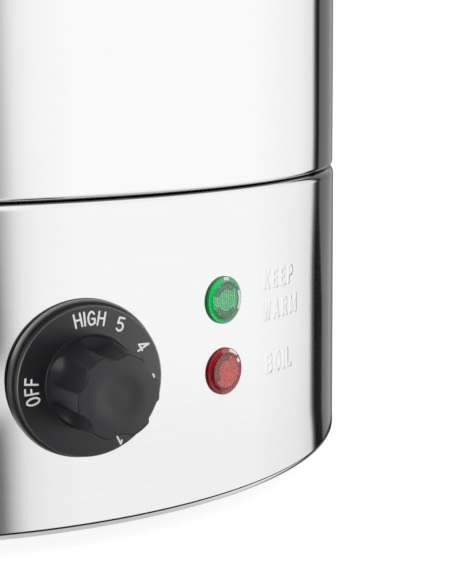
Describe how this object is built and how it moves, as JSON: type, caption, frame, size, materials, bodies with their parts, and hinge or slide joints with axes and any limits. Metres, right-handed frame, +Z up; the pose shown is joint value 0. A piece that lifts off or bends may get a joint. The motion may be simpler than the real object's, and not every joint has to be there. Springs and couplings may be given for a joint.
{
  "type": "hot water urn",
  "caption": "Free-standing stainless steel hot water urn with a lift-off lid, self-closing tap, water gauge, thermostat knob and indicator lamps.",
  "frame": {"origin": "on the tank's axis, in the plane of the table under the feet", "axes": "+Z up along the tank's axis, -Y towards the front, where the tap is, +X to the right as seen from the front"},
  "size_m": [0.397, 0.4194, 0.4775],
  "materials": {
    "polished_steel": "mirror polished stainless sheet",
    "satin_steel": "polished stainless sheet with faint horizontal brushing",
    "plain_steel": "plain stainless steel",
    "chromed_brass": "bright chrome plate",
    "black_plastic": "fine-textured matte black phenolic",
    "rubber_black": "matte black rubber",
    "silicone": "soft silicone rubber",
    "lens_green": "clear green lamp lens",
    "lens_red": "clear red lamp lens",
    "clear_glass": "clear glass",
    "bare_brass": "bare brass",
    "copper_tube": "bright copper tube",
    "element_sheath": "dull nickel alloy sheath",
    "cream_moulding": "cream thermoset moulding",
    "porcelain": "unglazed white porcelain",
    "wire_sleeve": "silicone wire sleeving",
    "red_plastic": "red push-button plastic"
  },
  "bodies": {
    "urn": {"tank_shell": "polished_steel", "tank_floor": "plain_steel", "tie_rods": "plain_steel", "tie_nuts": "plain_steel", "base_shell": "satin_steel", "base_plate": "plain_steel", "feet": "rubber_black", "foot_screws": "plain_steel", "thermostat_body": "cream_moulding", "thermostat_bracket": "plain_steel", "thermostat_screws": "plain_steel", "thermostat_probe": "copper_tube", "probe_clips": "plain_steel", "lamp_lens_upper": "lens_green", "lamp_lens_lower": "lens_red", "lamp_holders": "black_plastic", "lamp_clips": "plain_steel", "neon_lamps": "clear_glass", "heating_element": "element_sheath", "element_glands": "bare_brass", "element_gaskets": "silicone", "element_nuts": "bare_brass", "cutout_body": "black_plastic", "cutout_nut": "plain_steel", "cutout_probe": "copper_tube", "terminal_block": "porcelain", "terminal_screws": "bare_brass", "wiring_loom": "wire_sleeve", "earth_stud": "bare_brass", "inlet_bezel": "black_plastic", "inlet_socket": "black_plastic", "inlet_pins": "bare_brass", "inlet_screws": "plain_steel", "tap_body": "chromed_brass", "tap_gaskets": "silicone", "tap_back_nut": "chromed_brass", "tap_bonnet": "chromed_brass", "tap_lever_pin": "plain_steel", "tap_spring": "plain_steel", "gauge_tube": "clear_glass", "gauge_seal": "silicone", "gauge_guard": "plain_steel", "gauge_cap": "black_plastic", "gauge_bosses": "plain_steel", "gauge_screws": "plain_steel", "handle_brackets": "plain_steel", "handle_left": "black_plastic", "handle_right": "black_plastic", "handle_screws": "plain_steel"},
    "knob": {"control_knob": "black_plastic", "thermostat_shaft": "plain_steel"},
    "lever": {"tap_lever": "black_plastic"},
    "stem": {"tap_stem": "plain_steel", "tap_seat": "silicone"},
    "lid": {"lid_pan": "polished_steel", "lid_knob": "black_plastic", "lid_knob_screw": "plain_steel"},
    "reset": {"reset_button": "red_plastic"}
  },
  "joints": [
    {"name": "knob_turn", "type": "hinge", "parent": "urn", "child": "knob", "pos_m": [0.07272, -0.13119, 0.056], "axis": [0.4848, -0.8746, 0], "range_deg": [-270, 0]},
    {"name": "tap_lever_press", "type": "hinge", "parent": "urn", "child": "lever", "pos_m": [0, -0.2005, 0.1854], "axis": [1, 0, 0], "range_deg": [0, 24]},
    {"name": "tap_stem_lift", "type": "slide", "parent": "urn", "child": "stem", "axis": [0, 0, 1], "range_m": [0, 0.00427], "stiffness_N_per_m": 60, "springref_m": -0.008, "deforming": ["tap_spring"]},
    {"name": "lid_lift", "type": "slide", "parent": "urn", "child": "lid", "axis": [0, 0, 1], "range_m": [0, 0.06]},
    {"name": "reset_press", "type": "slide", "parent": "urn", "child": "reset", "axis": [0, 0, 1], "range_m": [0, 0.0025], "stiffness_N_per_m": 300, "springref_m": -0.002}
  ],
  "couplings": [
    {"joint": "tap_lever_press", "follows": "tap_stem_lift", "rad_per_m": 98.09}
  ]
}
